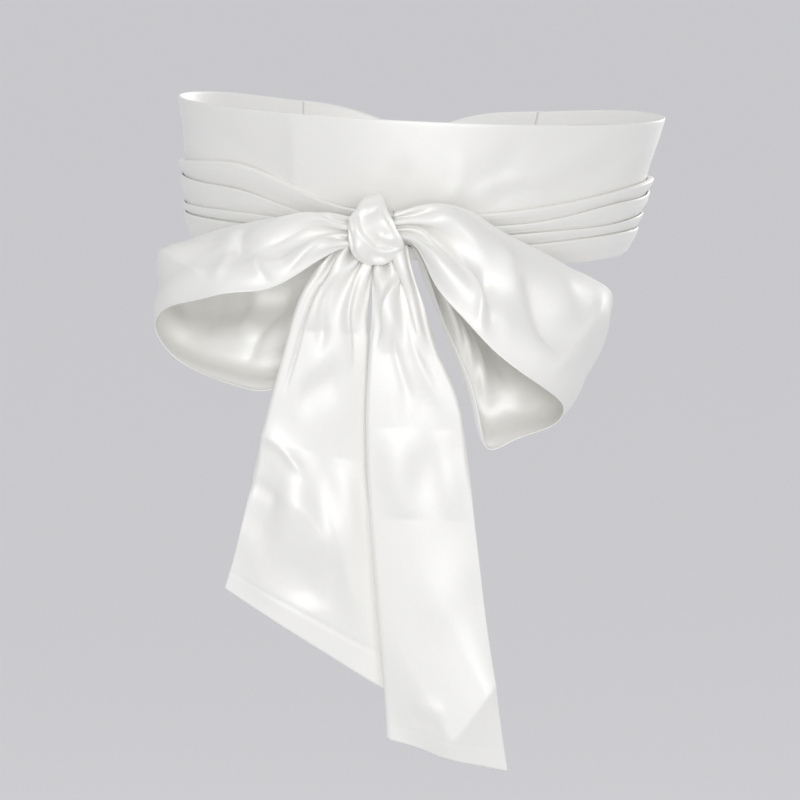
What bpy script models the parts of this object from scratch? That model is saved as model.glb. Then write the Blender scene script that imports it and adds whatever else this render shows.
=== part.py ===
"""A satin sash wound round a waist and tied in a bow at the front, as worn.

Millimetres in the tables and sizes, metres in the scene. +Z is up, the bow faces -Y, and +X is the
wearer's left. The origin is the middle of the waist that holds the sash up, half way up the sash.
"""

import math
from collections import namedtuple

import bpy
import numpy as np

MM = 0.001

# Driving sizes
CLOTH = 1.2  # wall
WAIST_HALF_WIDTH = 132.0  # at the sash's mid height
WAIST_FLARE = 8.0  # the waist is this much wider at the top edge, and narrower at the bottom one
WAIST_LEAN = 2.0  # and its middle is this much nearer the wearer's left at the top edge
WAIST_DEPTH_RATIO = 0.74
SASH_HALF_HEIGHT = 40.0
TURN_RADIUS = 3.2  # of a turned-back edge
FULL_TURN = 14.0  # a flap narrower than this isn't turned back all the way

SATIN_COLOUR = (0.93, 0.93, 0.92, 1.0)
SATIN_ROUGHNESS = 0.3


# The waist and what is wound round it

def waist_point(angle, height, offset):
    """A point that far out from the waist. Angle 0 is the front, and 90 degrees the wearer's left."""
    turn = math.radians(angle)
    up = height / SASH_HALF_HEIGHT
    half_width = WAIST_HALF_WIDTH + WAIST_FLARE * up
    half_depth = half_width * WAIST_DEPTH_RATIO
    out_x, out_y = math.sin(turn) / half_width, -math.cos(turn) / half_depth
    scale = offset / math.hypot(out_x, out_y)
    return (
        WAIST_LEAN * up + half_width * math.sin(turn) + out_x * scale,
        -half_depth * math.cos(turn) + out_y * scale,
        height,
    )


def smooth(keys, values, at):
    """Natural cubic spline through (keys, values), read at the places in at."""
    keys, values, at = (np.asarray(x, float) for x in (keys, values, at))
    step, rise = np.diff(keys), np.diff(values)
    count = len(keys)
    system, right = np.eye(count), np.zeros(count)
    for i in range(1, count - 1):
        system[i, i - 1 : i + 2] = step[i - 1], 2 * (step[i - 1] + step[i]), step[i]
        right[i] = 6 * (rise[i] / step[i] - rise[i - 1] / step[i - 1])
    bend = np.linalg.solve(system, right)
    i = np.clip(np.searchsorted(keys, at) - 1, 0, count - 2)
    before, after = at - keys[i], keys[i + 1] - at
    return (
        (bend[i] * after**3 + bend[i + 1] * before**3) / (6 * step[i])
        + (values[i] / step[i] - bend[i] * step[i] / 6) * after
        + (values[i + 1] / step[i] - bend[i + 1] * step[i] / 6) * before
    )


# One row for each section of a stretch that lies on the waist: its angle, the height of its middle,
# its own height, how far its inner folds lie out from the waist, and how far its pleats stand proud.
Wound = namedtuple("Wound", "angle middle height offset proud")

FRONT_PANEL = [
    Wound(-148.0, 14.0, 38.0, 0.0, 0.0),
    Wound(-125.0, 7.0, 62.0, 0.0, 0.0),
    Wound(-100.0, 2.0, 76.0, 0.0, 0.0),
    Wound(-50.0, 1.5, 77.0, 0.0, 0.0),
    Wound(0.0, 1.5, 77.0, 0.0, 0.0),
    Wound(50.0, 1.5, 77.0, 0.0, 0.0),
    Wound(100.0, 2.0, 76.0, 0.0, 0.0),
    Wound(125.0, 7.0, 62.0, 0.0, 0.0),
    Wound(148.0, 14.0, 38.0, 0.0, 0.0),
]
# Runs from the wearer's left, outermost across the back, to the knot from the wearer's right.
OVER_WRAP = [
    Wound(148.2, 14.0, 38.0, 0.0, 0.6),
    Wound(155.0, 14.0, 35.0, 1.6, 1.2),
    Wound(162.0, 13.0, 33.0, 3.2, 1.5),
    Wound(170.0, 8.0, 33.0, 3.9, 1.8),
    Wound(180.0, -3.0, 34.0, 3.8, 2.0),
    Wound(190.0, -13.0, 34.0, 3.4, 2.0),
    Wound(200.0, -20.0, 34.0, 2.6, 2.2),
    Wound(215.0, -21.0, 37.0, 1.8, 2.4),
    Wound(240.0, -19.5, 41.0, 1.6, 2.6),
    Wound(270.0, -18.5, 43.0, 1.6, 2.8),
    Wound(300.0, -15.5, 47.0, 1.6, 3.0),
    Wound(314.0, -14.5, 47.0, 1.6, 3.0),
    Wound(328.0, -17.5, 38.0, 1.6, 3.0),
    Wound(340.0, -21.5, 28.0, 3.0, 2.8),
    Wound(350.5, -22.5, 24.0, 8.7, 2.4),
]
# Runs from the wearer's right, innermost across the back, to the knot from the wearer's left.
UNDER_WRAP = [
    Wound(-148.2, 14.0, 38.0, 0.0, 0.6),
    Wound(-155.0, 14.0, 35.0, 0.0, 1.0),
    Wound(-162.0, 12.0, 33.0, 0.0, 1.2),
    Wound(-170.0, 7.0, 32.0, 0.0, 1.4),
    Wound(-180.0, -3.0, 32.0, 0.0, 1.4),
    Wound(-190.0, -14.0, 32.0, 0.0, 1.4),
    Wound(-200.0, -22.0, 32.0, 0.7, 1.6),
    Wound(-212.0, -22.5, 34.0, 1.8, 2.2),
    Wound(-240.0, -19.5, 41.0, 1.6, 2.6),
    Wound(-270.0, -15.5, 42.0, 1.6, 2.8),
    Wound(-300.0, -17.5, 40.0, 1.6, 3.0),
    Wound(-325.0, -21.5, 33.0, 1.6, 3.0),
    Wound(-345.0, -23.0, 26.0, 2.6, 2.8),
    Wound(-367.0, -23.0, 24.0, 8.8, 2.4),
]
# The share of the height that each pleat shows, from the top down.
OVER_PLEATS = (0.21, 0.31, 0.20, 0.28)
UNDER_PLEATS = (0.20, 0.30, 0.23, 0.27)
# A pleat's form: how far down it and how far out each point is, as shares of its own height and of
# the proud distance. It stands proud at its rolled top edge and sinks towards the next pleat.
PleatPoint = namedtuple("PleatPoint", "down out")
PLEAT = [
    PleatPoint(0.0, 0.25),
    PleatPoint(0.056, 0.85),
    PleatPoint(0.16, 1.0),
    PleatPoint(0.55, 0.55),
]
FOOT = 0.15  # how far out the last pleat's foot is, as such a share


def pleat_profile(pleats):
    """Rows of (share of the band's height down from the top, share of the proud distance)."""
    profile, top = [], 0.0
    for share in pleats:
        profile += [(top + point.down * share, point.out) for point in PLEAT]
        top += share
    return profile + [(1.0, FOOT)]


def wound_grid(rows, profile, along):
    """Points of a stretch on the waist, from its table, along by across."""
    keys = np.cumsum([0] + [abs(b.angle - a.angle) for a, b in zip(rows, rows[1:])])
    at = np.linspace(0, keys[-1], along)
    columns = [smooth(keys, [row[i] for row in rows], at) for i in range(len(Wound._fields))]
    grid = []
    for angle, middle, height, offset, proud in zip(*columns):
        grid.append(
            [
                waist_point(angle, middle + height * (0.5 - down), offset + proud * out)
                for down, out in profile
            ]
        )
    return np.array(grid)


# The loops and tails, as sections of one strip

# One row for each section of a loop: where its upper and its lower edge are, how much longer the
# cloth is than the straight line between them, and how far it is cupped (degrees at each edge).
Loop = namedtuple("Loop", "upper lower fullness cup")
# The same for a tail, with how much of its left and its right side is turned back behind it.
Tail = namedtuple("Tail", "left right fullness cup turned_left turned_right")

RIGHT_HAND_LOOP = [
    Loop((-25, -124.5, -12), (-25, -125.5, -27), 1.9, 0),
    Loop((-36, -121, -12.5), (-36, -128, -28), 1.7, 2),
    Loop((-45, -114, -12), (-42, -131, -29), 1.5, 5),
    Loop((-60, -106, -14), (-54, -137, -35), 1.35, 10),
    Loop((-82, -94, -18), (-75, -146, -49), 1.18, 16),
    Loop((-104, -82, -25), (-97, -150, -51), 1.12, 18),
    Loop((-123, -72, -33), (-118, -145, -58), 1.08, 16),
    Loop((-132, -62, -42), (-132, -132, -65), 1.06, 12),
    Loop((-133, -56, -51), (-136, -119, -77), 1.06, 12),
    Loop((-126, -58, -54), (-129, -114, -90), 1.08, 14),
    Loop((-110, -70, -48), (-111, -118, -101), 1.10, 16),
    Loop((-91, -83, -42), (-89, -123, -107), 1.12, 16),
    Loop((-73, -92, -36), (-70, -124, -107), 1.15, 14),
    Loop((-57, -99, -30), (-57, -121, -88), 1.2, 10),
    Loop((-45, -107, -20), (-47, -118, -52), 1.15, 3),
    Loop((-35, -112, -13.5), (-36, -118, -30.5), 1.25, 0),
    Loop((-25, -115.5, -11), (-25, -117, -27), 1.5, 0),
]
LEFT_HAND_LOOP = [
    Loop((-11, -124.5, -8), (-11, -125.5, -23), 1.9, 0),
    Loop((-1, -122, -6), (0, -127.9, -23), 1.7, 2),
    Loop((8, -117, -4), (6, -132, -29), 1.5, 5),
    Loop((20, -111, -6), (12, -139, -40), 1.35, 10),
    Loop((42, -105, -15), (28, -147, -57), 1.2, 14),
    Loop((64, -97, -26), (45, -152, -73), 1.14, 16),
    Loop((84, -88, -36), (62, -153, -85), 1.10, 16),
    Loop((100, -78, -46), (77, -148, -95), 1.07, 14),
    Loop((110, -67, -58), (83, -136, -106), 1.06, 12),
    Loop((107, -62, -69), (80, -128, -116), 1.06, 12),
    Loop((92, -69, -67), (68, -128, -123), 1.08, 14),
    Loop((73, -81, -58), (56, -131, -129), 1.10, 14),
    Loop((54, -91, -48), (45, -131, -133), 1.12, 14),
    Loop((36, -99, -37), (35, -129, -108), 1.15, 12),
    Loop((20, -105, -26), (22, -125, -77), 1.18, 8),
    Loop((8, -109, -15), (11, -119, -49), 1.10, 3),
    Loop((-1, -114, -8), (-0.5, -118.5, -26), 1.25, 0),
    Loop((-11, -116.5, -8), (-11, -117.5, -23), 1.5, 0),
]
RIGHT_HAND_TAIL = [
    Tail((-35, -121, -31), (-20, -121, -33.5), 2.2, 0, 0, 0),
    Tail((-43, -122, -39), (-21.5, -121, -46), 1.8, 0, 0, 0),
    Tail((-54, -125, -52), (-22, -124, -60), 1.4, 6, 0, 0),
    Tail((-63, -128, -76), (-21.5, -126, -84), 1.2, 10, 0, 0),
    Tail((-70, -130, -106), (-21.5, -127, -114), 1.12, 12, 0, 0),
    Tail((-76, -131, -135), (-20, -127, -146), 1.08, 14, 0, 0),
    Tail((-84, -131, -172), (-11, -126, -192), 1.06, 16, 0, 0),
    Tail((-90, -131, -202), (-4, -125, -242), 1.05, 16, 0, 0),
    Tail((-94, -131, -218), (-1, -124, -275), 1.04, 14, 0, 0),
]
LEFT_HAND_TAIL = [
    Tail((-19, -121, -33.5), (-4, -121, -31.5), 2.2, 0, 0, 0),
    Tail((-21, -124, -46), (5, -122, -46), 1.8, 0, 0, 0),
    Tail((-22, -131, -64), (14, -128, -64), 1.3, 8, 0, 0),
    Tail((-21.5, -135, -92), (25, -132, -91), 1.1, 12, 1, 0),
    Tail((-20, -137, -125), (32, -134, -121), 1.07, 14, 9, 0),
    Tail((-17, -138, -160), (39, -135, -160), 1.06, 14, 19, 0),
    Tail((-11, -139, -210), (47, -136, -210), 1.06, 14, 27, 0),
    Tail((-4, -139, -266), (57, -137, -269), 1.05, 12, 30, 0),
    Tail((-1, -139, -297), (66, -135, -313), 1.04, 10, 30, 0),
]
# The shares of the strip's width that its gathers take, across it.
LOOP_GATHERS = (0.30, 0.37, 0.33)
TAIL_GATHERS = (0.36, 0.26, 0.38)
FINE = 160  # points in a section before it is thinned
TURN_WEIGHT = 3.0  # how many millimetres of cloth a radian of turn counts for when it is thinned
MOST_SWING = 2.1  # radians that the cloth's direction may swing in a gather before its sides touch
HALVINGS = 24  # of the range in which the swing is searched for


def running(values, step):
    """The integral of values from the first one on."""
    return np.concatenate([[0], np.cumsum((values[1:] + values[:-1]) / 2 * step)])


def section(span, fullness, cup, turned_first, turned_last, gathers, count):
    """Points (across, out) of a section whose cloth runs span across and is fullness times as long.

    The cloth's direction swings as a sine along it, so that each gather is one wave and the wall keeps
    an even bend. A turned-back side continues round a small arc into a flap behind."""
    length = span * fullness
    sweeps = [math.pi * min(1.0, turned / FULL_TURN) for turned in (turned_first, turned_last)]
    before, after = (
        turned + sweep * TURN_RADIUS for turned, sweep in zip((turned_first, turned_last), sweeps)
    )
    place = np.linspace(-before, length + after, FINE)
    step = place[1] - place[0]
    turning = np.clip(-place / TURN_RADIUS, 0, sweeps[0])
    turning -= np.clip((place - length) / TURN_RADIUS, 0, sweeps[1])
    # A flap lies along the cloth in front of it, the other way round.
    under = np.clip(-place - sweeps[0] * TURN_RADIUS, 0, None)
    under -= np.clip(place - length - sweeps[1] * TURN_RADIUS, 0, None)
    share = np.clip((np.clip(place, 0, length) + under) / length, 0, 1)
    waves = np.interp(share, np.cumsum([0, *gathers]), range(len(gathers) + 1))
    base = turning + math.radians(cup) * (1 - 2 * share)

    def lie(swing):
        direction = base + swing * np.sin(2 * math.pi * waves)
        return direction, running(np.cos(direction), step), running(np.sin(direction), step)

    low, high = 0.0, MOST_SWING
    for _ in range(HALVINGS):
        swing = (low + high) / 2
        _, across, _ = lie(swing)
        low, high = (swing, high) if np.ptp(across) > span else (low, swing)
    direction, across, out = lie(swing)
    front = (place >= 0) & (place <= length)
    across = (across - across.min()) * span / np.ptp(across)
    out = out - np.interp(across, [0, span], out[front][[0, -1]])
    weight = np.concatenate([[0], np.cumsum(step + TURN_WEIGHT * np.abs(np.diff(direction)))])
    at = np.linspace(0, weight[-1], count)
    return np.interp(at, weight, across), np.interp(at, weight, out)


def strip_grid(rows, gathers, side, along, across):
    """Points of a loop or tail, from its table. side is 1 or -1, for the face that looks outwards."""
    first, last = (np.array([row[i] for row in rows], float) for i in (0, 1))
    middles = (first + last) / 2
    keys = np.concatenate([[0], np.cumsum(np.linalg.norm(np.diff(middles, axis=0), axis=1))])
    at = np.linspace(0, keys[-1], along)

    def read(values):
        return smooth(keys, values, at)

    a, b = (np.stack([read(ends[:, k]) for k in range(3)], axis=1) for ends in (first, last))
    fullness, cup = read([row.fullness for row in rows]), read([row.cup for row in rows])
    turned = [
        np.maximum(read([getattr(row, name, 0) for row in rows]), 0)
        for name in ("turned_left", "turned_right")
    ]
    path = np.gradient((a + b) / 2, axis=0)
    grid = []
    for i in range(along):
        span = np.linalg.norm(b[i] - a[i])
        chord = (b[i] - a[i]) / span
        out = side * np.cross(path[i], chord)
        out /= np.linalg.norm(out)
        p, q = section(
            span, max(fullness[i], 1.01), cup[i], turned[0][i], turned[1][i], gathers, across
        )
        grid.append(a[i] + np.outer(p, chord) + np.outer(q, out))
    return np.array(grid)


# The knot

KNOT_MIDDLE = (-18.0, -121.0, -18.0)
KNOT_TILT = 15.0  # its axis rises to the wearer's left
KNOT_HALF_HEIGHT = 19.0
KNOT_HALF_DEPTH = 15.0
KNOT_PINCH = 3.0  # how much tighter the strap is at its edges
# One row for each place round the knot: 0 is the front and 90 the top. Half the strap's width there,
# and how far its middle is shifted along the knot's axis, to the wearer's left.
Strap = namedtuple("Strap", "turn half_width aside")
KNOT_STRAP = [
    Strap(160.0, 12.0, -1.0),
    Strap(125.0, 10.5, -2.5),
    Strap(90.0, 10.5, -3.0),
    Strap(50.0, 13.5, -2.0),
    Strap(10.0, 15.5, -1.0),
    Strap(-30.0, 16.5, -0.5),
    Strap(-62.0, 15.5, -0.5),
]
# The soft folds that run round the knot: where across the strap, how wide and how deep.
KnotFold = namedtuple("KnotFold", "place width depth")
KNOT_FOLDS = [KnotFold(-0.50, 0.18, 1.4), KnotFold(0.22, 0.16, 1.8), KnotFold(0.66, 0.14, 1.0)]


def knot_grid(around, along):
    """Points of the strap that is wrapped round the middle of the bow, around by across the strap."""
    tilt = math.radians(KNOT_TILT)
    axis = np.array([math.cos(tilt), 0, math.sin(tilt)])
    up = np.array([-math.sin(tilt), 0, math.cos(tilt)])
    ahead = np.array([0, -1.0, 0])
    first, last = KNOT_STRAP[0].turn, KNOT_STRAP[-1].turn
    turned = [first - row.turn for row in KNOT_STRAP]
    at = np.linspace(0, first - last, around)
    half_widths = smooth(turned, [row.half_width for row in KNOT_STRAP], at)
    asides = smooth(turned, [row.aside for row in KNOT_STRAP], at)
    grid = []
    for turn, half_width, aside in zip(np.radians(first - at), half_widths, asides):
        row = []
        for place in np.linspace(-1, 1, along):
            sink = KNOT_PINCH * place**4 + sum(
                f.depth * math.exp(-(((place - f.place) / f.width) ** 2)) for f in KNOT_FOLDS
            )
            row.append(
                np.array(KNOT_MIDDLE)
                + axis * (aside + place * half_width)
                + up * math.sin(turn) * (KNOT_HALF_HEIGHT - sink)
                + ahead * math.cos(turn) * (KNOT_HALF_DEPTH - sink)
            )
        grid.append(row)
    return np.array(grid)


# Making the objects

def satin(name):
    material = bpy.data.materials.new(name)
    material.use_nodes = True
    shader = material.node_tree.nodes["Principled BSDF"]
    shader.inputs["Base Color"].default_value = SATIN_COLOUR
    shader.inputs["Roughness"].default_value = SATIN_ROUGHNESS
    shader.inputs["Metallic"].default_value = 0.0
    return material


def cloth_object(name, grid, collection):
    """An open surface through the grid's points, thickened to the cloth's wall on both sides."""
    along, across, _ = grid.shape
    corners = np.arange(along * across).reshape(along, across)
    quads = np.stack(
        [corners[:-1, :-1], corners[:-1, 1:], corners[1:, 1:], corners[1:, :-1]], axis=-1
    ).reshape(-1, 4)
    mesh = bpy.data.meshes.new(name)
    mesh.from_pydata((grid.reshape(-1, 3) * MM).tolist(), [], quads.tolist())
    mesh.materials.append(satin(name + "_satin"))
    mesh.shade_smooth()
    made = bpy.data.objects.new(name, mesh)
    collection.objects.link(made)
    wall = made.modifiers.new("wall", "SOLIDIFY")
    wall.thickness = CLOTH * MM
    wall.offset = 0.0
    return made


# How many points each piece has along the cloth or round the waist, and across it.
PANEL_POINTS = (41, 7)
WRAP_ROWS = 34
KNOT_POINTS = (18, 13)
LOOP_POINTS = (29, 23)
TAIL_POINTS = (19, 23)


def main():
    for leftover in list(bpy.data.objects):
        bpy.data.objects.remove(leftover)
    sash = bpy.data.collections.new("satin_sash")
    bpy.context.scene.collection.children.link(sash)

    panel_rows, panel_columns = PANEL_POINTS
    flat = [(down, 0.0) for down in np.linspace(0, 1, panel_columns)]
    cloth_object("front_panel", wound_grid(FRONT_PANEL, flat, panel_rows), sash)
    for name, rows, pleats in (
        ("over_wrap", OVER_WRAP, OVER_PLEATS),
        ("under_wrap", UNDER_WRAP, UNDER_PLEATS),
    ):
        cloth_object(name, wound_grid(rows, pleat_profile(pleats), WRAP_ROWS), sash)
    cloth_object("knot", knot_grid(*KNOT_POINTS), sash)
    for name, rows, side in (
        ("right_hand_loop", RIGHT_HAND_LOOP, 1),
        ("left_hand_loop", LEFT_HAND_LOOP, -1),
    ):
        cloth_object(name, strip_grid(rows, LOOP_GATHERS, side, *LOOP_POINTS), sash)
    for name, rows in (("right_hand_tail", RIGHT_HAND_TAIL), ("left_hand_tail", LEFT_HAND_TAIL)):
        cloth_object(name, strip_grid(rows, TAIL_GATHERS, 1, *TAIL_POINTS), sash)


main()
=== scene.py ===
"""The looks of a satin sash that is wound round a waist and tied in a bow at the front.

Millimetres in the tables and sizes, metres in the scene. +Z is up, the bow faces -Y, and +X is the
wearer's left. The origin is the middle of the waist, half way up the sash. Each stretch of the sash
is one thin sheet that stands for the plain solid of the same name.
"""

import math
from collections import namedtuple

import bpy
import numpy as np
from mathutils import Matrix, Vector


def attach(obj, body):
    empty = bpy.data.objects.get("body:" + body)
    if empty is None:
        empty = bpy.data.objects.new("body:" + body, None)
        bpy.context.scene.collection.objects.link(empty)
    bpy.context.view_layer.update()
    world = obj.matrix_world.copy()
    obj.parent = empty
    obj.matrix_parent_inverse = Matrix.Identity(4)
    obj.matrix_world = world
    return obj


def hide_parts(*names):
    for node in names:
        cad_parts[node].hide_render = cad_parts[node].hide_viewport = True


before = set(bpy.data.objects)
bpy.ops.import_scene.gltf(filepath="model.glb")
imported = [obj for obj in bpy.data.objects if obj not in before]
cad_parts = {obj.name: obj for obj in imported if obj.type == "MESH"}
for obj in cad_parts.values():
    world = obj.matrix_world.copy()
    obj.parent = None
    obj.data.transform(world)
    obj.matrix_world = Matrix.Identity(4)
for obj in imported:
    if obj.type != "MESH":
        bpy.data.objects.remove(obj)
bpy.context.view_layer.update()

MM = 0.001
STRIP_WIDTH = 100.0  # finished width of the strip that the sash is cut as
SHELL = 0.55  # the satin and its turnings, as one sheet
LAYER = 1.0  # between the middles of two layers that lie on each other
TURNING = 9.0  # an edge's width that is turned in behind a band
TUCK = 7.5  # how far a pleat's cloth runs on under the next pleat

# The waist, which is this much wider and further to the wearer's left at the sash's top edge
WAIST_HALF_WIDTH = 132.0
WAIST_FLARE = 8.0
WAIST_LEAN = 2.0
WAIST_DEPTH_RATIO = 0.74
SASH_HALF_HEIGHT = 40.0
ARC = 2.1  # millimetres of cloth for a degree round the waist, about


# Curves and surfaces


def smooth(keys, values, at):
    """Natural cubic splines through (keys, values), one for each column, read at the places in at."""
    keys, values, at = (np.asarray(x, float) for x in (keys, values, at))
    table = values.reshape(len(keys), -1)
    step = np.diff(keys)
    slope = np.diff(table, axis=0) / step[:, None]
    system, right = np.eye(len(keys)), np.zeros_like(table)
    for i in range(1, len(keys) - 1):
        system[i, i - 1 : i + 2] = step[i - 1], 2 * (step[i - 1] + step[i]), step[i]
        right[i] = 6 * (slope[i] - slope[i - 1])
    bend = np.linalg.solve(system, right)
    i = np.clip(np.searchsorted(keys, at) - 1, 0, len(keys) - 2)
    before, after, gap = (at - keys[i])[:, None], (keys[i + 1] - at)[:, None], step[i][:, None]
    read = (
        (bend[i] * after**3 + bend[i + 1] * before**3) / (6 * gap)
        + (table[i] / gap - bend[i] * gap / 6) * after
        + (table[i + 1] / gap - bend[i + 1] * gap / 6) * before
    )
    return read.reshape(at.shape + values.shape[1:])


def lengths_along(points):
    """The distance along a line of points, at each of them."""
    return np.concatenate([[0], np.cumsum(np.linalg.norm(np.diff(points, axis=0), axis=1))])


def running(values, step):
    """The integral of values from the first one on."""
    return np.concatenate([[0], np.cumsum((values[1:] + values[:-1]) / 2 * step)])


def unit(vectors):
    return vectors / np.linalg.norm(vectors, axis=-1, keepdims=True)


def normals_of(grid, side):
    return side * unit(np.cross(np.gradient(grid, axis=0), np.gradient(grid, axis=1)))


# A soft ridge (depth over 0) or trough in the cloth. Its line is given in the cloth's own
# millimetres, across and along, it fades out at both ends, and its two sides have their own widths.
# A lower power makes its line crisper.
Crease = namedtuple("Crease", "line width other_width depth power", defaults=(2.0,))
CREASE_STEPS = 40
CREASE_FADE = 0.33  # the share of its length over which a crease fades out, at each end


def relief(creases, across, along):
    """How far the creases move the cloth out at each of those places."""
    places = np.stack([across.ravel(), along.ravel()], axis=1)
    total = np.zeros(len(places))
    for crease in creases:
        ends = np.array(crease.line, float)
        keys = lengths_along(ends)
        length = keys[-1]
        line = smooth(keys, ends, np.linspace(0, length, CREASE_STEPS))
        tangent = unit(np.gradient(line, axis=0))
        away = places[:, None] - line[None]
        nearest = np.einsum("ijk,ijk->ij", away, away).argmin(axis=1)
        away, tangent = away[np.arange(len(places)), nearest], tangent[nearest]
        run = np.einsum("ij,ij->i", away, tangent) + nearest * length / (CREASE_STEPS - 1)
        offset = tangent[:, 0] * away[:, 1] - tangent[:, 1] * away[:, 0]
        beyond = run - np.clip(run, 0, length)
        width = np.where(offset > 0, crease.other_width, crease.width)
        inside = np.clip(np.minimum(run, length - run) / (CREASE_FADE * length), 0, 1)
        fade = inside**2 * (3 - 2 * inside)
        distance = np.sqrt(offset**2 + beyond**2) / width
        total += crease.depth * fade * np.exp(-(distance**crease.power))
    return total.reshape(across.shape)


# The panel and the wraps, which lie on the waist


def waist_points(angle, heights, offsets):
    """Points that far out from the waist. Angle 0 is the front, and 90 degrees the wearer's left."""
    turn = math.radians(angle)
    up = heights / SASH_HALF_HEIGHT
    half_width = WAIST_HALF_WIDTH + WAIST_FLARE * up
    half_depth = half_width * WAIST_DEPTH_RATIO
    out_x, out_y = math.sin(turn) / half_width, -math.cos(turn) / half_depth
    scale = offsets / np.hypot(out_x, out_y)
    return np.stack(
        [
            WAIST_LEAN * up + half_width * math.sin(turn) + out_x * scale,
            -half_depth * math.cos(turn) + out_y * scale,
            heights,
        ],
        axis=-1,
    )


# One row for each section of a band: its angle, the height of its middle, its own height, how far its
# inner folds lie out from the waist, and how far its pleats stand proud.
Wound = namedtuple("Wound", "angle middle height offset proud")

FRONT_PANEL = [
    Wound(-149.2, 14.0, 37.0, 0.0, 0.0),
    Wound(-125.0, 7.0, 62.0, 0.0, 0.0),
    Wound(-100.0, 2.0, 76.0, 0.0, 0.0),
    Wound(-50.0, 1.5, 77.0, 0.0, 0.0),
    Wound(0.0, 1.5, 77.0, 0.0, 0.0),
    Wound(50.0, 1.5, 77.0, 0.0, 0.0),
    Wound(100.0, 2.0, 76.0, 0.0, 0.0),
    Wound(125.0, 7.0, 62.0, 0.0, 0.0),
    Wound(149.2, 14.0, 37.0, 0.0, 0.0),
]
# Runs from the wearer's left, outermost across the back, to the knot from the wearer's right.
OVER_WRAP = [
    Wound(148.2, 14.0, 38.0, 0.6, 2.0),
    Wound(155.0, 14.0, 35.0, 1.8, 2.0),
    Wound(162.0, 13.0, 33.0, 3.2, 2.0),
    Wound(170.0, 8.0, 33.0, 4.1, 2.0),
    Wound(180.0, -3.0, 34.0, 4.1, 2.1),
    Wound(190.0, -13.0, 34.0, 3.8, 2.1),
    Wound(200.0, -20.0, 34.0, 3.0, 2.2),
    Wound(215.0, -21.0, 37.0, 2.2, 2.4),
    Wound(240.0, -19.5, 41.0, 2.0, 2.6),
    Wound(270.0, -18.5, 43.0, 2.0, 2.4),
    Wound(300.0, -15.5, 47.0, 2.0, 2.2),
    Wound(314.0, -14.5, 47.0, 2.0, 2.2),
    Wound(328.0, -17.5, 38.0, 2.0, 2.0),
    Wound(340.0, -21.5, 28.0, 3.2, 2.8),
    Wound(350.5, -22.5, 24.0, 8.7, 2.4),
]
# Runs from the wearer's right, innermost across the back, to the knot from the wearer's left.
UNDER_WRAP = [
    Wound(-148.2, 14.0, 38.0, 0.6, 1.8),
    Wound(-155.0, 14.0, 35.0, 0.4, 1.8),
    Wound(-162.0, 12.0, 33.0, 0.2, 1.8),
    Wound(-170.0, 7.0, 32.0, 0.1, 1.8),
    Wound(-180.0, -3.0, 32.0, 0.1, 1.8),
    Wound(-190.0, -14.0, 32.0, 0.2, 1.8),
    Wound(-200.0, -22.0, 32.0, 1.0, 1.9),
    Wound(-212.0, -22.5, 34.0, 2.0, 2.2),
    Wound(-240.0, -19.5, 41.0, 2.0, 2.6),
    Wound(-270.0, -15.5, 42.0, 2.0, 2.3),
    Wound(-300.0, -17.5, 40.0, 2.0, 2.2),
    Wound(-325.0, -21.5, 33.0, 2.0, 2.0),
    Wound(-345.0, -23.0, 26.0, 2.8, 2.8),
    Wound(-367.0, -23.0, 24.0, 8.8, 2.4),
]
# The share of the height that each pleat shows at that angle, from the top down.
Pleats = namedtuple("Pleats", "angle first second third fourth")
OVER_PLEATS = [
    Pleats(148.2, 0.22, 0.30, 0.20, 0.28),
    Pleats(170.0, 0.27, 0.24, 0.25, 0.24),
    Pleats(195.0, 0.20, 0.31, 0.17, 0.32),
    Pleats(225.0, 0.26, 0.27, 0.21, 0.26),
    Pleats(255.0, 0.19, 0.35, 0.16, 0.30),
    Pleats(277.0, 0.20, 0.36, 0.13, 0.31),
    Pleats(300.0, 0.28, 0.30, 0.13, 0.29),
    Pleats(318.0, 0.33, 0.25, 0.14, 0.28),
    Pleats(334.0, 0.36, 0.17, 0.17, 0.30),
    Pleats(350.5, 0.26, 0.24, 0.24, 0.26),
]
UNDER_PLEATS = [
    Pleats(-148.2, 0.24, 0.28, 0.22, 0.26),
    Pleats(-172.0, 0.28, 0.22, 0.27, 0.23),
    Pleats(-200.0, 0.22, 0.30, 0.20, 0.28),
    Pleats(-230.0, 0.20, 0.33, 0.22, 0.25),
    Pleats(-262.0, 0.17, 0.33, 0.22, 0.28),
    Pleats(-285.0, 0.22, 0.27, 0.19, 0.32),
    Pleats(-305.0, 0.19, 0.31, 0.15, 0.35),
    Pleats(-325.0, 0.26, 0.20, 0.20, 0.34),
    Pleats(-345.0, 0.28, 0.22, 0.24, 0.26),
    Pleats(-367.0, 0.25, 0.25, 0.25, 0.25),
]
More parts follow.
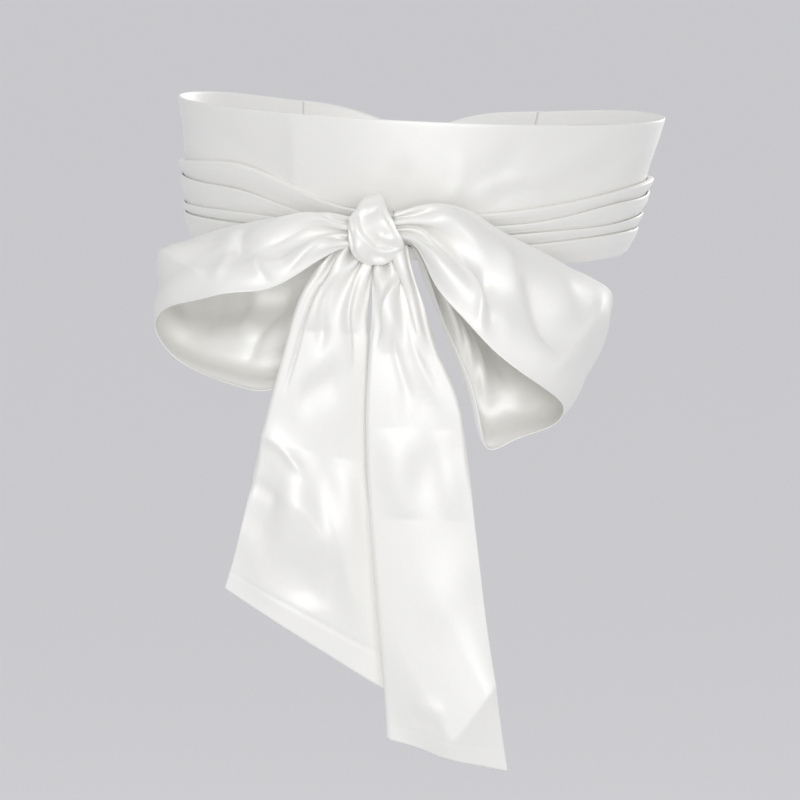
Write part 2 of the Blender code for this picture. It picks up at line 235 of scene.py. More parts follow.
# Creases of the bands: their lines are (angle, height).
PANEL_CREASES = [
    Crease(((-31, 52), (-30, 20), (-31, -26)), 9.0, 22.0, 3.0, 1.05),
    Crease(((-62, 34), (-48, 20), (-36, 9)), 7.0, 5.0, -0.7),
    Crease(((-84, 20), (-66, 12), (-50, 4)), 8.0, 6.0, 0.8),
    Crease(((-110, 30), (-92, 22), (-70, 24)), 9.0, 7.0, -0.8),
    Crease(((-2, 22), (-6, 8), (-13, -6)), 4.0, 8.0, -0.8),
    Crease(((7, 28), (10, 6), (4, -8)), 3.0, 7.0, 0.7),
    Crease(((25, 36), (21, 18), (16, 2)), 6.0, 8.0, -0.8),
    Crease(((52, 34), (38, 22), (27, 6)), 5.0, 9.0, 0.9),
    Crease(((62, 22), (44, 10), (28, -2)), 5.0, 7.0, -0.9),
    Crease(((84, 30), (66, 20), (50, 12)), 8.0, 6.0, 0.7),
    Crease(((112, 26), (95, 20), (78, 8)), 8.0, 9.0, -0.9),
    Crease(((12, -4), (19, 6), (28, 10), (36, 7)), 2.2, 3.4, 1.5, 1.6),
    Crease(((17, -6), (24, 1), (31, 3)), 2.0, 2.4, -1.3),
    Crease(((-140, 20), (-126, 10), (-108, 6)), 4.0, 7.0, -1.1),
    Crease(((-142, 12), (-128, -2), (-112, -12)), 5.0, 4.0, 0.9),
    Crease(((-146, 22), (-132, 28), (-114, 34)), 4.0, 6.0, 0.8),
    Crease(((140, 20), (126, 12), (108, 8)), 4.0, 7.0, -1.1),
    Crease(((143, 10), (130, -4), (113, -14)), 5.0, 4.0, 0.9),
    Crease(((146, 24), (132, 30), (113, 33)), 4.0, 6.0, 0.8),
]
OVER_CREASES = [
    Crease(((150, 10), (166, 8), (186, -6)), 3.0, 5.0, 0.6),
    Crease(((206, -12), (222, -10), (240, -16)), 3.0, 4.0, -0.6),
    Crease(((232, -24), (250, -28), (268, -26)), 3.0, 5.0, 0.5),
    Crease(((258, -8), (274, -5), (290, 0)), 4.0, 3.0, -0.5),
    Crease(((286, -2), (306, 2), (322, -2)), 3.5, 5.0, 0.7),
    Crease(((296, -14), (314, -10), (332, -14)), 3.0, 5.0, -0.6),
]
UNDER_CREASES = [
    Crease(((-152, 14), (-168, 8), (-184, -4)), 3.0, 5.0, -0.5),
    Crease(((-214, -14), (-232, -12), (-250, -8)), 4.0, 3.0, 0.6),
    Crease(((-240, -30), (-258, -28), (-276, -30)), 3.0, 4.0, -0.5),
    Crease(((-262, -6), (-282, -10), (-306, -14)), 3.0, 5.0, 0.6),
    Crease(((-286, -20), (-304, -20), (-322, -22)), 3.5, 4.0, -0.6),
]
FACE_COLUMNS = 9  # in each half of a pleat's face
TURN_COLUMNS = 3  # in each quarter of a turn
ROUNDING = 3  # how often the corners of a band's profile are rounded off
BAND_SPACING = 2.0  # between a band's sections
# How a pleat's face falls back from its rolled edge: how far down it is, and how far it still stands
# proud, as shares.
PLEAT_FALL = ((0.4, 0.85), (0.8, 0.2))
MOST_TUCK = 0.8  # of the next pleat's face
TUCK_RISE = 0.5  # of how far the pleat stands proud, where its tuck turns back


def band_profile(height, shares, proud):
    """Points (down from the band's top, out) across the cloth, from one turned-in edge to the other.

    Each pleat's rolled top edge lies over the foot of the one above it, whose cloth runs on under it
    and turns back up."""
    half = LAYER / 2
    corners = [(TURNING, -LAYER, 0), (2 * half, -LAYER, FACE_COLUMNS), (0, -half, TURN_COLUMNS)]
    top = 0.0
    for i, share in enumerate(shares):
        shown = share * height
        foot = top + shown
        corners.append((top + half, proud, TURN_COLUMNS))
        corners += [(top + way * shown, left * proud, FACE_COLUMNS) for way, left in PLEAT_FALL]
        corners.append((foot, 0, TURN_COLUMNS))
        if i + 1 < len(shares):
            tuck = min(TUCK, MOST_TUCK * shares[i + 1] * height)
            corners += [
                (foot + tuck - half, 0, FACE_COLUMNS),
                (foot + tuck, TUCK_RISE / 2 * proud, TURN_COLUMNS),
                (foot + tuck - half, TUCK_RISE * proud, TURN_COLUMNS),
                (foot + half, proud - LAYER, FACE_COLUMNS),
                (foot - half, proud - half, TURN_COLUMNS),
            ]
        top = foot
    corners += [
        (height + half, -half, TURN_COLUMNS),
        (height - half, -LAYER, TURN_COLUMNS),
        (height - TURNING, -LAYER, FACE_COLUMNS),
    ]
    places = np.cumsum([count for _, _, count in corners])
    profile = np.stack(
        [np.interp(np.arange(places[-1] + 1), places, [c[k] for c in corners]) for k in (0, 1)], axis=1
    )
    for _ in range(ROUNDING):
        profile[1:-1] = (profile[:-2] + 2 * profile[1:-1] + profile[2:]) / 4
    return profile


def band(rows, pleats, creases):
    """(points, cloth) of a band on the waist: cloth holds each point's millimetres across and along."""
    scaled = [crease._replace(line=tuple((a * ARC, h) for a, h in crease.line)) for crease in creases]
    keys = [abs(row.angle - rows[0].angle) for row in rows]
    at = np.linspace(0, keys[-1], int(keys[-1] * ARC / BAND_SPACING))
    table = smooth(keys, rows, at)
    if pleats:
        shares = smooth([abs(p.angle - rows[0].angle) for p in pleats], [p[1:] for p in pleats], at)
    else:
        shares = np.ones((len(at), 1))
    grid = []
    for (angle, middle, height, offset, proud), row_shares in zip(table, shares):
        down, out = band_profile(height, row_shares / row_shares.sum(), proud).T
        heights = middle + height / 2 - down
        round_waist = np.full(len(heights), angle * ARC)
        offsets = offset + out + relief(scaled, round_waist, heights)
        grid.append(waist_points(angle, heights, offsets))
    grid = np.array(grid)
    return grid, cloth_places(grid)


def cloth_places(grid):
    """Each point's millimetres across and along the cloth, measured on it."""
    across = np.array([lengths_along(row) for row in grid])
    along = lengths_along(grid.mean(axis=1))
    return np.stack([across, np.repeat(along[:, None], grid.shape[1], axis=1)], axis=-1)


# The loops and tails, as sections of the strip

# One row for each section of a loop or tail: where its two edges are, how much longer the cloth is
# than the straight line between them, how far it is cupped (degrees at each edge), and how much of it
# is turned back behind each edge.
Loop = namedtuple("Loop", "upper lower fullness cup turned_upper turned_lower", defaults=(0, 0))
Tail = namedtuple("Tail", "left right fullness cup turned_left turned_right")

RIGHT_HAND_LOOP = [
    Loop((-25, -124.5, -12), (-25, -125.5, -27), 2.6, 0),
    Loop((-36, -121, -11.5), (-36, -128, -28), 2.3, 2),
    Loop((-45, -114, -11.5), (-42, -131, -30), 1.75, 5),
    Loop((-60, -106, -13), (-54, -137, -37), 1.3, 10),
    Loop((-82, -94, -17.5), (-75, -146, -49), 1.08, 14, 2, 0),
    Loop((-104, -82, -25), (-97, -150, -52), 1.025, 12, 4, 0),
    Loop((-125, -71, -34), (-117, -146, -58), 1.01, 8, 3, 0),
    Loop((-136.5, -62, -40), (-132, -134, -65), 1.005, 5, 0, 0),
    Loop((-136.5, -57, -46), (-137.5, -120, -77), 1.005, 5, 0, 0),
    Loop((-128, -57, -53), (-130, -114, -91), 1.02, 8, 2, 0),
    Loop((-110, -70, -50), (-111, -118, -102), 1.07, 11, 8, 1),
    Loop((-91, -83, -43), (-89, -123, -108), 1.14, 13, 12, 2),
    Loop((-73, -92, -36), (-70, -124, -107), 1.25, 13, 10, 2),
    Loop((-57, -99, -30), (-57, -121, -88), 1.35, 10, 3, 2),
    Loop((-45, -107, -20), (-47, -118, -52), 1.4, 3),
    Loop((-35, -112, -13.5), (-36, -118, -30.5), 1.7, 0),
    Loop((-25, -115.5, -11), (-25, -117, -27), 2.0, 0),
]
LEFT_HAND_LOOP = [
    Loop((-11, -124.5, -8), (-11, -125.5, -23), 2.6, 0),
    Loop((-1, -122, -5), (0, -127.9, -24), 2.3, 2),
    Loop((8, -117, -3), (6, -132, -31), 1.75, 5),
    Loop((22, -111, -4), (12, -139, -42), 1.3, 9),
    Loop((43, -105, -13), (28, -147, -59), 1.08, 12, 2, 0),
    Loop((65, -97, -25), (45, -152, -75), 1.025, 13, 4, 0),
    Loop((86, -88, -35.5), (63, -153, -88), 1.01, 10, 3, 0),
    Loop((103, -78, -46), (79, -148, -99), 1.005, 7, 0, 0),
    Loop((113.5, -67, -57), (86, -136, -109), 1.005, 5, 0, 0),
    Loop((109, -61, -71), (82, -127, -119), 1.01, 6, 0, 0),
    Loop((93, -69, -68), (69, -128, -125), 1.03, 9, 6, 1),
    Loop((73, -81, -58), (57, -131, -130), 1.05, 10, 10, 1),
    Loop((54, -91, -48), (45, -131, -134), 1.08, 10, 12, 2.5),
    Loop((36, -99, -37), (35.5, -129, -109), 1.15, 9, 8, 3.5),
    Loop((20, -105, -26), (23, -125, -77), 1.3, 8, 3, 2.5),
    Loop((8, -109, -15), (12, -119, -49), 1.35, 3),
    Loop((-1, -114, -8), (-0.5, -118.5, -26), 1.6, 0),
    Loop((-11, -116.5, -8), (-11, -117.5, -23), 2.0, 0),
]
RIGHT_HAND_TAIL = [
    Tail((-34, -121, -22), (-20, -120, -27), 2.4, 0, 0, 0),
    Tail((-41, -124, -29), (-20.5, -120, -37), 1.8, 0, 0, 0),
    Tail((-49, -127, -38), (-21.5, -122, -46), 1.28, 4, 1, 0),
    Tail((-57.5, -129, -52), (-22, -125, -58), 1.06, 7, 5, 1),
    Tail((-65, -130, -78), (-21.5, -128, -78), 1.008, 9, 9, 5),
    Tail((-71, -131, -105), (-21, -128.5, -106), 1.006, 9, 9, 6),
    Tail((-77, -131, -135), (-19, -127, -146), 1.004, 9, 5, 4),
    Tail((-84, -131, -172), (-11, -126, -192), 1.004, 9, 1, 1),
    Tail((-90, -131, -202), (-4, -125, -242), 1.004, 8, 0, 0),
    Tail((-94, -131, -218), (-1, -124, -275), 1.003, 6, 0, 0),
]
LEFT_HAND_TAIL = [
    Tail((-19, -119, -31), (-2.5, -123, -25), 2.2, 0, 0, 0),
    Tail((-20.5, -120, -40), (-0.5, -126, -34), 1.8, 0, 0, 0),
    Tail((-20.5, -123, -50), (3.5, -128, -46), 1.35, 2, 0, 0),
    Tail((-20, -128.5, -61), (9, -129.5, -60), 1.08, 5, 1, 1),
    Tail((-20, -133.5, -80), (17, -131, -82), 1.01, 8, 5, 4),
    Tail((-20.5, -136, -102), (26, -132.5, -101), 1.004, 9, 9, 5),
    Tail((-20, -137, -125), (33, -134, -124), 1.004, 9, 13, 4),
    Tail((-17, -138, -160), (39, -135, -160), 1.004, 9, 20, 1),
    Tail((-11, -139, -210), (47, -136, -210), 1.004, 9, 27, 0),
    Tail((-4, -139, -266), (57, -137, -269), 1.004, 7, 30, 0),
    Tail((-1, -139, -297), (66, -135, -313), 1.003, 5, 30, 0),
]
TURN_RADIUS = 2.2  # of a turned-back edge
FULL_TURN = 10.0  # a flap narrower than this isn't turned back all the way
# What loops and what tails have in common: the shares of the strip's width that their gathers take, at
# the knot and away from it, how many ends the knot gathers, how far out along the cloth that shows, and
# how the cloth is held.
Kind = namedtuple("Kind", "knot_gathers gathers knot_ends reach held")
LOOP_KIND = Kind((0.21, 0.33, 0.19, 0.27), (0.58, 0.42), 2, 24.0, "gathered")
TAIL_KIND = Kind((0.34, 0.25, 0.41), (0.61, 0.39), 1, 17.0, "hung")
FINEST = 500  # points in a section before it is thinned
MOST_SWING = 2.2  # radians that the cloth's direction may swing in a gather
HALVINGS = 22  # of the range in which the swing is searched for


def section(span, fullness, cup, turned, swings, count):
    """Points of a section whose cloth runs span across and is fullness times as long: how far each
    is across and out, its place on the strip's front, and how far it faces out, from 1 to -1.
    swings says how the cloth's direction swings at a share of its width."""
    sweeps = [math.pi * min(1.0, side / FULL_TURN) for side in turned]
    bulge = sum(TURN_RADIUS * math.sin(min(sweep, math.pi / 2)) for sweep in sweeps)
    length = (span - bulge) * fullness
    before, after = (side + sweep * TURN_RADIUS for side, sweep in zip(turned, sweeps))
    place = np.linspace(-before, length + after, FINEST)
    step = place[1] - place[0]
    turning = np.clip(-place / TURN_RADIUS, 0, sweeps[0])
    turning -= np.clip((place - length) / TURN_RADIUS, 0, sweeps[1])
    # A flap lies along the cloth in front of it, the other way round.
    under = np.clip(-place - sweeps[0] * TURN_RADIUS, 0, None)
    under -= np.clip(place - length - sweeps[1] * TURN_RADIUS, 0, None)
    share = np.clip((np.clip(place, 0, length) + under) / length, 0, 1)
    base = turning + math.radians(cup) * (1 - 2 * share)
    swing_shape = swings(share)

    low, high = 0.0, MOST_SWING
    for _ in range(HALVINGS):
        swing = (low + high) / 2
        across = running(np.cos(base + swing * swing_shape), step)
        low, high = (swing, high) if np.ptp(across) > span else (low, swing)
    direction = base + swing * swing_shape
    across, out = running(np.cos(direction), step), running(np.sin(direction), step)
    front = (place >= 0) & (place <= length)
    across = (across - across.min()) * span / np.ptp(across)
    out = out - np.interp(across, [0, span], out[front][[0, -1]])
    at = np.linspace(place[0], place[-1], count)
    columns = (across, out, share * STRIP_WIDTH, np.cos(turning))
    return np.stack([np.interp(at, place, column) for column in columns])


def strip(stretch):
    """(points, cloth) of a loop or tail."""
    kind, side = stretch.kind, stretch.side
    first, last = (np.array([row[i] for row in stretch.sections], float) for i in (0, 1))
    keys = lengths_along((first + last) / 2)
    at = np.linspace(0, keys[-1], int(keys[-1] / stretch.spacing))
    a, b = smooth(keys, first, at), smooth(keys, last, at)
    # The spare cloth is read on a log scale, on which it fades out smoothly and never runs out.
    settings = smooth(keys, [(math.log(row.fullness - 1), row.cup) for row in stretch.sections], at)
    turned = np.maximum(smooth(keys, [row[4:6] for row in stretch.sections], at), 0)
    knot_waves = np.cumsum([0, *kind.knot_gathers])
    waves = np.cumsum([0, *kind.gathers])
    path = np.gradient((a + b) / 2, axis=0)
    grid, fronts, facings = [], [], []
    for i, run in enumerate(at):
        knot_distance = min(run, keys[-1] - run) if kind.knot_ends == 2 else run
        fine = math.exp(-((knot_distance / kind.reach) ** 2))

        def swings(share, fine=fine):
            near = np.sin(2 * math.pi * np.interp(share, knot_waves, range(len(knot_waves))))
            far = np.sin(2 * math.pi * np.interp(share, waves, range(len(waves))))
            return fine * near + (1 - fine) * far

        span = np.linalg.norm(b[i] - a[i])
        chord = (b[i] - a[i]) / span
        out = side * unit(np.cross(path[i], chord))
        spare, cup = settings[i]
        fullness = 1 + math.exp(spare)
        p, q, front, facing = section(span, fullness, cup, turned[i], swings, stretch.columns)
        grid.append(a[i] + np.outer(p, chord) + np.outer(q, out))
        fronts.append(front)
        facings.append(facing)
    grid, fronts, facings = np.array(grid), np.array(fronts), np.array(facings)
    along = np.repeat(at[:, None], stretch.columns, axis=1)
    moved = facings * relief(stretch.creases, fronts, along)
    grid += normals_of(grid, side) * moved[..., None]
    across = np.linspace(0, STRIP_WIDTH, stretch.columns)
    return grid, np.stack(np.broadcast_arrays(across[None, :], along), axis=-1)


# The folds of the loops and tails: their lines are (across, along) the cloth.
RIGHT_LOOP_CREASES = [
    # The front, from the knot out to its corner
    Crease(((30, 8), (44, 34), (53, 64)), 3.0, 5.0, -1.5, 1.6),
    Crease(((12, 8), (22, 30), (26, 58)), 3.0, 4.0, 1.0),
    Crease(((70, 8), (80, 28), (94, 48)), 3.0, 5.0, 1.3),
    Crease(((60, 44), (76, 47), (92, 42)), 7.0, 5.0, -1.6),
    Crease(((52, 57), (74, 61), (99, 54)), 3.0, 8.0, 2.2, 1.4),
    Crease(((12, 66), (36, 69), (62, 71)), 6.0, 4.0, -2.8, 1.6),
    Crease(((44, 73), (66, 79), (92, 86)), 3.0, 5.0, 1.3),
    Crease(((8, 88), (28, 84), (46, 88)), 7.0, 9.0, -1.3),
    Crease(((2, 126), (46, 107), (90, 88)), 9.0, 14.0, 5.0, 1.1),
    Crease(((20, 138), (52, 128), (86, 118)), 9.0, 7.0, -1.6),
    # The back
    Crease(((6, 150), (40, 146), (78, 140)), 6.0, 9.0, -2.0),
    Crease(((2, 172), (36, 170), (70, 160)), 6.0, 8.0, 1.6, 1.5),
    Crease(((4, 196), (32, 191), (64, 186)), 4.0, 7.0, -2.2),
    Crease(((12, 216), (40, 206), (84, 186)), 5.0, 3.0, 2.0, 1.4),
    Crease(((30, 250), (48, 226), (74, 206)), 4.0, 5.0, -1.6),
]
LEFT_LOOP_CREASES = [
    # The front, from the knot out to its corner
    Crease(((50, 6), (57, 22), (58, 36), (68, 50)), 4.0, 3.0, -2.6, 1.7),
    Crease(((22, 10), (32, 32), (40, 58)), 5.0, 7.0, 1.2),
    Crease(((54, 26), (66, 50), (98, 66)), 3.4, 7.0, 3.0, 1.4),
    Crease(((46, 52), (64, 61), (98, 73)), 5.0, 7.5, -4.4, 1.7),
    Crease(((22, 73), (42, 84), (58, 94), (80, 118)), 5.0, 10.0, -3.6, 1.6),
    Crease(((16, 58), (36, 70), (56, 84)), 8.0, 5.0, 2.2, 1.6),
    Crease(((6, 98), (28, 104), (54, 114)), 9.0, 8.0, 1.2),
    Crease(((0, 129), (48, 122), (98, 112)), 5.0, 11.0, 4.4, 1.05),
    Crease(((20, 140), (52, 136), (86, 130)), 7.0, 7.0, -1.4),
    # The back
    Crease(((8, 158), (42, 156), (80, 150)), 7.0, 9.0, 1.5),
    Crease(((2, 184), (36, 180), (70, 168)), 7.0, 8.0, -1.8),
    Crease(((6, 208), (32, 204), (66, 190)), 4.0, 7.0, 1.8, 1.5),
    Crease(((12, 232), (38, 222), (82, 196)), 5.0, 4.0, -1.8),
    Crease(((30, 268), (48, 244), (74, 222)), 4.0, 5.0, 1.5),
]
RIGHT_TAIL_CREASES = [
    Crease(((14, 0), (13, 26), (12, 60), (9, 92)), 1.8, 2.6, -2.4, 1.6),
    Crease(((26, 20), (36, 42), (50, 66)), 8.0, 9.0, -2.6),
    Crease(((76, -4), (73, 22), (78, 46), (86, 76)), 1.8, 9.0, 2.6, 1.5),
    Crease(((20, 93), (48, 83), (80, 74)), 9.0, 12.0, -1.8),
    Crease(((-12, 116), (14, 120), (44, 136)), 9.0, 3.2, 2.4, 1.4),
    Crease(((-8, 147), (8, 147), (26, 154)), 4.0, 6.0, -1.1),
    Crease(((16, 146), (46, 156), (68, 182)), 14.0, 30.0, 5.0, 1.5),
    Crease(((30, 176), (44, 190), (54, 208)), 13.0, 13.0, -2.4),
    Crease(((60, 130), (74, 172), (84, 216)), 10.0, 10.0, 2.2, 1.7),
    Crease(((-4, 166), (12, 190), (26, 222)), 11.0, 10.0, 1.2),
    Crease(((-12, 211), (50, 211), (112, 211)), 1.3, 1.3, -0.3),
]
LEFT_TAIL_CREASES = [
    Crease(((96, -4), (62, 12), (24, 32), (6, 58)), 11.0, 1.8, 3.4, 1.5),
    Crease(((72, 10), (70, 26), (76, 48)), 2.4, 3.0, -2.4, 1.6),
    Crease(((30, 40), (38, 62), (52, 88)), 7.0, 8.0, -1.6),
    Crease(((60, 30), (68, 58), (84, 92)), 8.0, 10.0, 1.4, 1.8),
    Crease(((26, 98), (54, 86), (92, 74)), 13.0, 15.0, -1.2),
    Crease(((24, 142), (58, 122), (84, 110), (110, 96)), 17.0, 14.0, -1.5),
    Crease(((28, 206), (62, 190), (106, 160)), 18.0, 16.0, 0.9),
    Crease(((124, 222), (76, 254), (24, 296)), 22.0, 46.0, 11.0, 1.05),
    Crease(((18, 268), (34, 263), (50, 268)), 5.0, 5.6, -0.9),
    Crease(((20, 259), (36, 254), (54, 256)), 5.4, 5.0, 0.7),
    Crease(((-12, 271), (50, 271), (112, 271)), 1.3, 1.3, -0.3),
]


# One row for each loop and tail: the solid it stands for, its sections and creases, the face that looks
# outwards (1 or -1), the distance between its sections, and how many points each has.
Stretch = namedtuple("Stretch", "node sections creases side spacing columns kind")
STRETCHES = [
    Stretch("right_hand_loop", RIGHT_HAND_LOOP, RIGHT_LOOP_CREASES, 1, 1.5, 120, LOOP_KIND),
    Stretch("left_hand_loop", LEFT_HAND_LOOP, LEFT_LOOP_CREASES, -1, 1.5, 120, LOOP_KIND),
    Stretch("right_hand_tail", RIGHT_HAND_TAIL, RIGHT_TAIL_CREASES, 1, 1.3, 120, TAIL_KIND),
    Stretch("left_hand_tail", LEFT_HAND_TAIL, LEFT_TAIL_CREASES, 1, 1.3, 140, TAIL_KIND),
]


# The knot

KNOT_MIDDLE = (-18.0, -121.0, -18.0)
KNOT_TILT = 15.0  # its axis rises to the wearer's left
KNOT_HALF_HEIGHT = 19.0
KNOT_HALF_DEPTH = 15.0
KNOT_PINCH = 3.0  # how much tighter the strap is at its edges
# One row for each place round the knot: 0 is the front and 90 the top. How far the strap's two edges
# lie along the knot's axis from its middle, to the wearer's left.
Strap = namedtuple("Strap", "turn right_edge left_edge")
KNOT_STRAP = [
    Strap(160.0, -9.0, 6.0),
    Strap(125.0, -8.0, 6.0),
    Strap(90.0, -6.5, 6.0),
    Strap(62.0, -10.0, 6.5),
    Strap(42.0, -13.5, 7.2),
    Strap(20.0, -16.0, 8.8),
    Strap(-5.0, -17.0, 10.4),
    Strap(-30.0, -16.5, 11.6),
    Strap(-48.0, -14.8, 10.6),
    Strap(-64.0, -12.5, 8.0),
]
# Folds of the knot: their lines are (along its axis, up its front).
KNOT_RISE = 17.0  # of a radian round it
KNOT_CREASES = [
    # The strap's lower edge, over the turn beneath it
    Crease(
        ((-11, 21), (-9, 9), (-8.6, 2.8), (-5.6, -2.7), (-1.9, -7.4), (3.7, -9.4), (12, -11)),
        0.8,
        10.0,
        4.4,
        1.7,
    ),
    Crease(((-3, 1), (2, -3.6), (10, -5.5)), 2.4, 2.0, -1.3),
    Crease(((-9, 13), (-2, 12), (5, 15)), 2.4, 2.6, 1.0, 1.6),
    Crease(((4.5, 18), (6, 9), (8.4, 1), (10.5, -8)), 1.6, 1.2, 1.2),
    # The fins at its left, and the folds beneath the strap
    Crease(((-12.5, 14), (-12.8, 7), (-13.6, 0)), 0.9, 1.2, -2.4),
    Crease(((-15, 8), (-15.5, 1), (-15.2, -8)), 1.1, 1.4, 1.3),
    Crease(((-13.5, 0), (-12.4, -7), (-8.6, -15)), 1.8, 2.2, -1.5),
    Crease(((-9, -8), (-4, -13), (2, -14.5)), 1.6, 2.2, 1.5),
    Crease(((-8, -14), (-3.5, -17), (3, -17.5)), 1.3, 1.6, -1.6),
]
KNOT_ROWS = 150
KNOT_COLUMNS = 90


def knot():
    """(points, cloth) of the strap that is wrapped round the middle of the bow."""
    tilt = math.radians(KNOT_TILT)
    axis = np.array([math.cos(tilt), 0, math.sin(tilt)])
    up = np.array([-math.sin(tilt), 0, math.cos(tilt)])
    ahead = np.array([0, -1.0, 0])
    turns = np.linspace(KNOT_STRAP[0].turn, KNOT_STRAP[-1].turn, KNOT_ROWS)
    table = smooth([-row.turn for row in KNOT_STRAP], [row[1:] for row in KNOT_STRAP], -turns)
    place = np.linspace(-1, 1, KNOT_COLUMNS)
    grid, places = [], []
    for turn, (right_edge, left_edge) in zip(np.radians(turns), table):
        sink = KNOT_PINCH * place**4
        sideways = (right_edge + left_edge) / 2 + place * (left_edge - right_edge) / 2
        grid.append(
            np.array(KNOT_MIDDLE)
            + np.outer(sideways, axis)
            + np.outer(math.sin(turn) * (KNOT_HALF_HEIGHT - sink), up)
            + np.outer(math.cos(turn) * (KNOT_HALF_DEPTH - sink), ahead)
        )
        places.append(np.stack([sideways, np.full(KNOT_COLUMNS, KNOT_RISE * turn)], axis=-1))
    grid, places = np.array(grid), np.array(places)
    grid += normals_of(grid, -1) * relief(KNOT_CREASES, places[..., 0], places[..., 1])[..., None]
    return grid, cloth_places(grid)


# The satin

SATIN_COLOUR = (0.955, 0.95, 0.92, 1.0)
SATIN_SHADE = (0.925, 0.92, 0.885, 1.0)
SATIN_SOCKETS = {
    "Metallic": 0.28,
    "Anisotropic": 0.6,
    "Specular IOR Level": 0.55,
    "Sheen Weight": 0.08,
    "Sheen Roughness": 0.4,
}
ROUGHEST = 0.56
SMOOTHEST = 0.46
THREADS = (380.0, 14.0, 1.0)  # for each 100 mm of cloth: across and along
RIPPLES = (13.0, 7.0, 1.0)
MOST_THREADS = (0.3, 0.7)  # the range that the threads' noise mostly keeps to
# How high the bumps are, and how strongly they show.
RIPPLE_BUMP = (0.25, 0.4)
THREAD_BUMP = (0.05, 0.35)


def satin(name):
    """Ivory satin: long warp floats that spread a highlight across them, over faint ripples."""
    material = bpy.data.materials.new(name)
    material.use_nodes = True
    nodes, links = material.node_tree.nodes, material.node_tree.links
    shader = nodes["Principled BSDF"]
    for socket, value in SATIN_SOCKETS.items():
        shader.inputs[socket].default_value = value

    uv = nodes.new("ShaderNodeUVMap")
    uv.uv_map = "cloth"

    def noise(scales, detail, roughness):
        mapping = nodes.new("ShaderNodeMapping")
        mapping.inputs["Scale"].default_value = scales
        links.new(uv.outputs["UV"], mapping.inputs["Vector"])
        texture = nodes.new("ShaderNodeTexNoise")
        texture.inputs["Scale"].default_value = 1.0
        texture.inputs["Detail"].default_value = detail
        texture.inputs["Roughness"].default_value = roughness
        links.new(mapping.outputs["Vector"], texture.inputs["Vector"])
        return texture.outputs["Fac"]

    threads = noise(THREADS, detail=2.0, roughness=0.6)
    ripples = noise(RIPPLES, detail=3.0, roughness=0.5)

    tangent = nodes.new("ShaderNodeTangent")
    tangent.direction_type = "UV_MAP"
    tangent.uv_map = "cloth"
    links.new(tangent.outputs["Tangent"], shader.inputs["Tangent"])

    shade = nodes.new("ShaderNodeMix")
    shade.data_type = "RGBA"
    shade.inputs["A"].default_value = SATIN_COLOUR
    shade.inputs["B"].default_value = SATIN_SHADE
    links.new(threads, shade.inputs["Factor"])
    links.new(shade.outputs["Result"], shader.inputs["Base Color"])

    gloss = nodes.new("ShaderNodeMapRange")
    gloss.inputs["From Min"].default_value, gloss.inputs["From Max"].default_value = MOST_THREADS
    gloss.inputs["To Min"].default_value = SMOOTHEST
    gloss.inputs["To Max"].default_value = ROUGHEST
    links.new(threads, gloss.inputs["Value"])
    links.new(gloss.outputs["Result"], shader.inputs["Roughness"])

    normal = None
    for height, (distance, strength) in ((ripples, RIPPLE_BUMP), (threads, THREAD_BUMP)):
        bump = nodes.new("ShaderNodeBump")
        bump.inputs["Distance"].default_value = distance * MM
        bump.inputs["Strength"].default_value = strength
        links.new(height, bump.inputs["Height"])
        if normal:
            links.new(normal, bump.inputs["Normal"])
        normal = bump.outputs["Normal"]
    links.new(normal, shader.inputs["Normal"])
    return material


# Making the pieces


def cloth_piece(name, surface, material, node):
    """A thin sheet through the surface's points, which stands for one solid."""
    grid, cloth = surface
    rows, columns, _ = grid.shape
    corners = np.arange(rows * columns).reshape(rows, columns)
    quads = np.stack(
        [corners[:-1, :-1], corners[:-1, 1:], corners[1:, 1:], corners[1:, :-1]], axis=-1
    ).reshape(-1, 4)
    mesh = bpy.data.meshes.new(name)
    mesh.from_pydata((grid.reshape(-1, 3) * MM).tolist(), [], quads.tolist())
    layer = mesh.uv_layers.new(name="cloth")
    layer.data.foreach_set("uv", (cloth.reshape(-1, 2)[quads.ravel()] / STRIP_WIDTH).ravel())
    mesh.materials.append(material)
    mesh.shade_smooth()
    piece = bpy.data.objects.new(name, mesh)
    bpy.context.scene.collection.objects.link(piece)
    wall = piece.modifiers.new("wall", "SOLIDIFY")
    wall.thickness = SHELL * MM
    wall.offset = 0.0
    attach(piece, "root")
    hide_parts(node)


# Light, floor and camera

FLOOR_HEIGHT = -800.0
FLOOR_HALF_SIDE = 30000.0
CAMERA_TARGET = (-2.66, 0.0, -132.22)
CAMERA_DISTANCE = 1800.0
CAMERA_ELEVATION = 10.11
CAMERA_ROLL = 2.65
CAMERA_LENS = 138.46
SENSOR = 36.0
CAMERA_REACH = 200.0  # metres
FLOOR_SOCKETS = {
    "Base Color": (0.80, 0.80, 0.81, 1),
    "Emission Color": (1.0, 1.0, 1.02, 1),
    "Emission Strength": 0.07,
    "Roughness": 0.9,
}
ROOM_COLOUR = (0.97, 0.97, 1.0, 1)
ROOM_LIGHT = 0.645

# Each softbox: where it stands in metres, what it points at, its sides, its beam's spread in degrees
# and its power in watts.
Softbox = namedtuple("Softbox", "name place target width height spread watts")
SOFTBOXES = [
    Softbox("key", (0.25, -2.6, 0.52), (0, -0.1, -0.08), 1.3, 1.3, 90, 5.3),
    Softbox("low_front", (-0.3, -2.0, -0.5), (0, -0.1, -0.14), 1.4, 0.5, 90, 0.3),
    Softbox("overhead", (-0.5, 0.2, 2.0), (0, 0, -0.1), 1.2, 1.0, 90, 0.7),
    Softbox("rear", (1.1, 1.7, 0.4), (0, 0, -0.12), 0.8, 0.8, 80, 1.8),
]


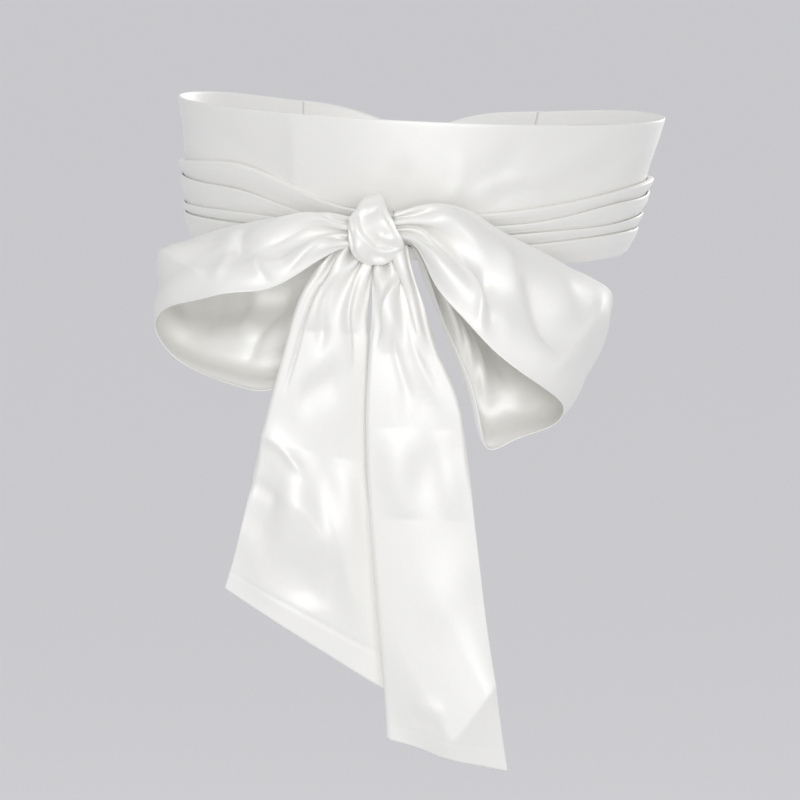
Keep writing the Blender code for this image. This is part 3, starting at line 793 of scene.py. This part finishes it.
def stage():
    bpy.ops.mesh.primitive_grid_add(x_subdivisions=2, y_subdivisions=2, size=2 * FLOOR_HALF_SIDE * MM)
    floor = bpy.context.object
    floor.name = "floor"
    floor.location = (0, 0, FLOOR_HEIGHT * MM)
    material = bpy.data.materials.new("floor_paper")
    material.use_nodes = True
    shader = material.node_tree.nodes["Principled BSDF"]
    for socket, value in FLOOR_SOCKETS.items():
        shader.inputs[socket].default_value = value
    floor.data.materials.append(material)


def lights():
    world = bpy.data.worlds.new("studio")
    world.use_nodes = True
    background = world.node_tree.nodes["Background"]
    background.inputs["Color"].default_value = ROOM_COLOUR
    background.inputs["Strength"].default_value = ROOM_LIGHT
    bpy.context.scene.world = world
    for box in SOFTBOXES:
        light = bpy.data.lights.new(box.name, "AREA")
        light.shape = "RECTANGLE"
        light.size, light.size_y = box.width, box.height
        light.spread = math.radians(box.spread)
        light.energy = box.watts
        holder = bpy.data.objects.new(box.name, light)
        bpy.context.scene.collection.objects.link(holder)
        holder.location = box.place
        toward = Vector(box.target) - Vector(box.place)
        holder.rotation_euler = toward.to_track_quat("-Z", "Y").to_euler()


def camera():
    elevation, roll = math.radians(CAMERA_ELEVATION), math.radians(CAMERA_ROLL)
    ahead = Vector((0, math.cos(elevation), -math.sin(elevation)))
    level_up = Vector((0, math.sin(elevation), math.cos(elevation)))
    right = math.cos(roll) * Vector((1, 0, 0)) + math.sin(roll) * level_up
    up = -math.sin(roll) * Vector((1, 0, 0)) + math.cos(roll) * level_up
    lens = bpy.data.cameras.new("camera")
    lens.lens = CAMERA_LENS
    lens.sensor_width = SENSOR
    lens.clip_end = CAMERA_REACH
    holder = bpy.data.objects.new("camera", lens)
    place = (Vector(CAMERA_TARGET) - ahead * CAMERA_DISTANCE) * MM
    holder.matrix_world = Matrix.Translation(place) @ Matrix((right, up, -ahead)).transposed().to_4x4()
    bpy.context.scene.collection.objects.link(holder)
    bpy.context.scene.camera = holder


def main():
    material = satin("satin")
    panel = band(FRONT_PANEL, None, PANEL_CREASES)
    over = band(OVER_WRAP, OVER_PLEATS, OVER_CREASES)
    under = band(UNDER_WRAP, UNDER_PLEATS, UNDER_CREASES)
    cloth_piece("panel", panel, material, "front_panel")
    cloth_piece("over_wrap_folds", over, material, "over_wrap")
    cloth_piece("under_wrap_folds", under, material, "under_wrap")
    cloth_piece("knot_strap", knot(), material, "knot")
    for stretch in STRETCHES:
        name = stretch.node + "_cloth"
        cloth_piece(name, strip(stretch), material, stretch.node)
    stage()
    lights()
    camera()
    bpy.context.scene.view_settings.view_transform = "Standard"


main()
bpy.context.view_layer.update()
